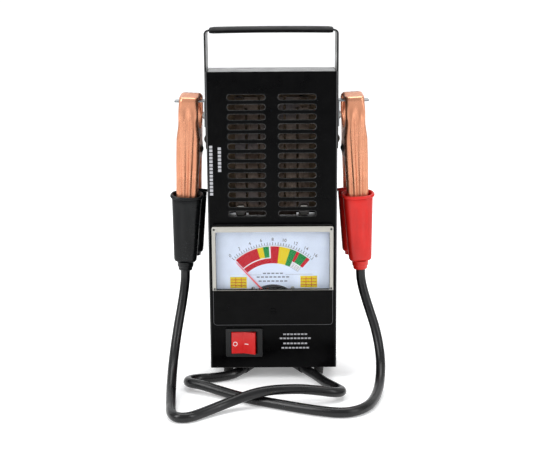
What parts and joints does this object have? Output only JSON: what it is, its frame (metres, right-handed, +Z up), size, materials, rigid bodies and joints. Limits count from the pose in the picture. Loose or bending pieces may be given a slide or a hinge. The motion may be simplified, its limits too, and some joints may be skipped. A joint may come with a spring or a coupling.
{
  "type": "battery load tester",
  "caption": "Upright sheet-steel battery load tester with a panel meter, rocker switch, cooling slots, strap handle and two copper spring clamps on leads resting on side tongues.",
  "frame": {"origin": "on the ground under the middle of the tester without its free leads", "axes": "+Z up, -Y out of the front panel, +X to the right seen from the front"},
  "size_m": [0.1844, 0.1583, 0.2961],
  "materials": {
    "aluminium_sheet": "mill",
    "board_brown": "pressed board",
    "board_green": "solder mask",
    "boot_black": "soft vinyl",
    "boot_red": "soft vinyl",
    "brass_plain": "machined",
    "cable_black": "satin jacket",
    "case_black": "gloss black paint",
    "ceramic": "unglazed",
    "coil_copper": "enamelled wire on a frame",
    "component_grey": "lacquered",
    "copper_plate": "copper plated, polished",
    "dark_steel": "blackened",
    "dial_face": "printed white",
    "element_strip": "heat tinted",
    "foot_rubber": "matt",
    "grip_black": "soft vinyl",
    "magnet_iron": "ground",
    "meter_black": "gloss",
    "meter_clear": "clear moulding",
    "pointer_red": "red lacquer",
    "rocker_red": "gloss",
    "strap_black": "satin black paint",
    "switch_black": "fine grain",
    "tinned": "tinned",
    "wire_black": "smooth",
    "wire_red": "smooth",
    "zinc_steel": "zinc plated"
  },
  "bodies": {
    "root": {"black_clamp_lead": "cable_black", "board_components": "component_grey", "board_screws": "zinc_steel", "board_standoffs": "zinc_steel", "calibration_board": "board_green", "case_screws": "dark_steel", "ceramic_spacers": "ceramic", "clamp_pin_left": "zinc_steel", "clamp_pin_right": "zinc_steel", "clamp_rest_left": "zinc_steel", "clamp_rest_right": "zinc_steel", "clamp_spring_left": "zinc_steel", "clamp_spring_right": "zinc_steel", "dial_plate": "dial_face", "dial_screws": "zinc_steel", "element_board": "board_brown", "element_bolts": "zinc_steel", "element_nuts": "zinc_steel", "feet": "foot_rubber", "front_boot_left": "boot_black", "front_boot_right": "boot_red", "front_jaw_left": "copper_plate", "front_jaw_right": "copper_plate", "front_shell": "case_black", "grip_sleeve": "grip_black", "handle_screws": "dark_steel", "handle_strap": "strap_black", "heat_shield": "aluminium_sheet", "inner_lead_element": "wire_black", "inner_lead_positive": "wire_red", "inner_lead_switch": "wire_black", "iron_core": "magnet_iron", "lead_crimp_left": "tinned", "lead_crimp_right": "tinned", "lead_lugs": "tinned", "load_element": "element_strip", "magnet_yoke": "magnet_iron", "meter_housing": "meter_black", "meter_lower_cover": "meter_black", "meter_nuts": "zinc_steel", "meter_studs": "zinc_steel", "meter_window": "meter_clear", "movement_bridge": "brass_plain", "rear_bearing": "brass_plain", "rear_cover": "case_black", "red_clamp_lead": "cable_black", "strain_relief_left": "boot_black", "strain_relief_right": "boot_black", "switch_body": "switch_black", "switch_terminals": "tinned", "terminal_nuts": "zinc_steel", "terminal_studs": "brass_plain"},
    "rocker": {"rocker": "rocker_red"},
    "pointer": {"pointer": "pointer_red", "moving_coil": "coil_copper"},
    "zero_adjuster": {"zero_adjuster": "meter_black"},
    "clamp_left_rear": {"rear_jaw_left": "copper_plate", "rear_boot_left": "boot_black"},
    "clamp_right_rear": {"rear_jaw_right": "copper_plate", "rear_boot_right": "boot_red"}
  },
  "joints": [
    {"name": "rocker_press", "type": "hinge", "parent": "root", "child": "rocker", "pos_m": [-0.0247, -0.0234, 0.0337], "axis": [0, 0, 1], "range_deg": [0, 18], "stiffness_Nm_per_rad": 0.35, "springref_deg": -14.32},
    {"name": "pointer_sweep", "type": "hinge", "parent": "root", "child": "pointer", "pos_m": [0, -0.0288, 0.071], "axis": [0, 1, 0], "range_deg": [0, 84.8], "stiffness_Nm_per_rad": 0.0002, "springref_deg": -2.86},
    {"name": "zero_set", "type": "hinge", "parent": "root", "child": "zero_adjuster", "pos_m": [0, -0.0344, 0.064], "axis": [0, 1, 0], "range_deg": [-30, 30]},
    {"name": "clamp_left_open", "type": "hinge", "parent": "root", "child": "clamp_left_rear", "pos_m": [-0.069, 0.0056, 0.1955], "axis": [-0.9954, 0.0872, 0.0393], "range_deg": [0, 13.5], "stiffness_Nm_per_rad": 1.2, "springref_deg": -14.32, "deforming": ["clamp_spring_left"]},
    {"name": "clamp_right_open", "type": "hinge", "parent": "root", "child": "clamp_right_rear", "pos_m": [0.069, 0.0056, 0.1955], "axis": [-0.9954, -0.0872, -0.0393], "range_deg": [0, 13.5], "stiffness_Nm_per_rad": 1.2, "springref_deg": -14.32, "deforming": ["clamp_spring_right"]}
  ]
}
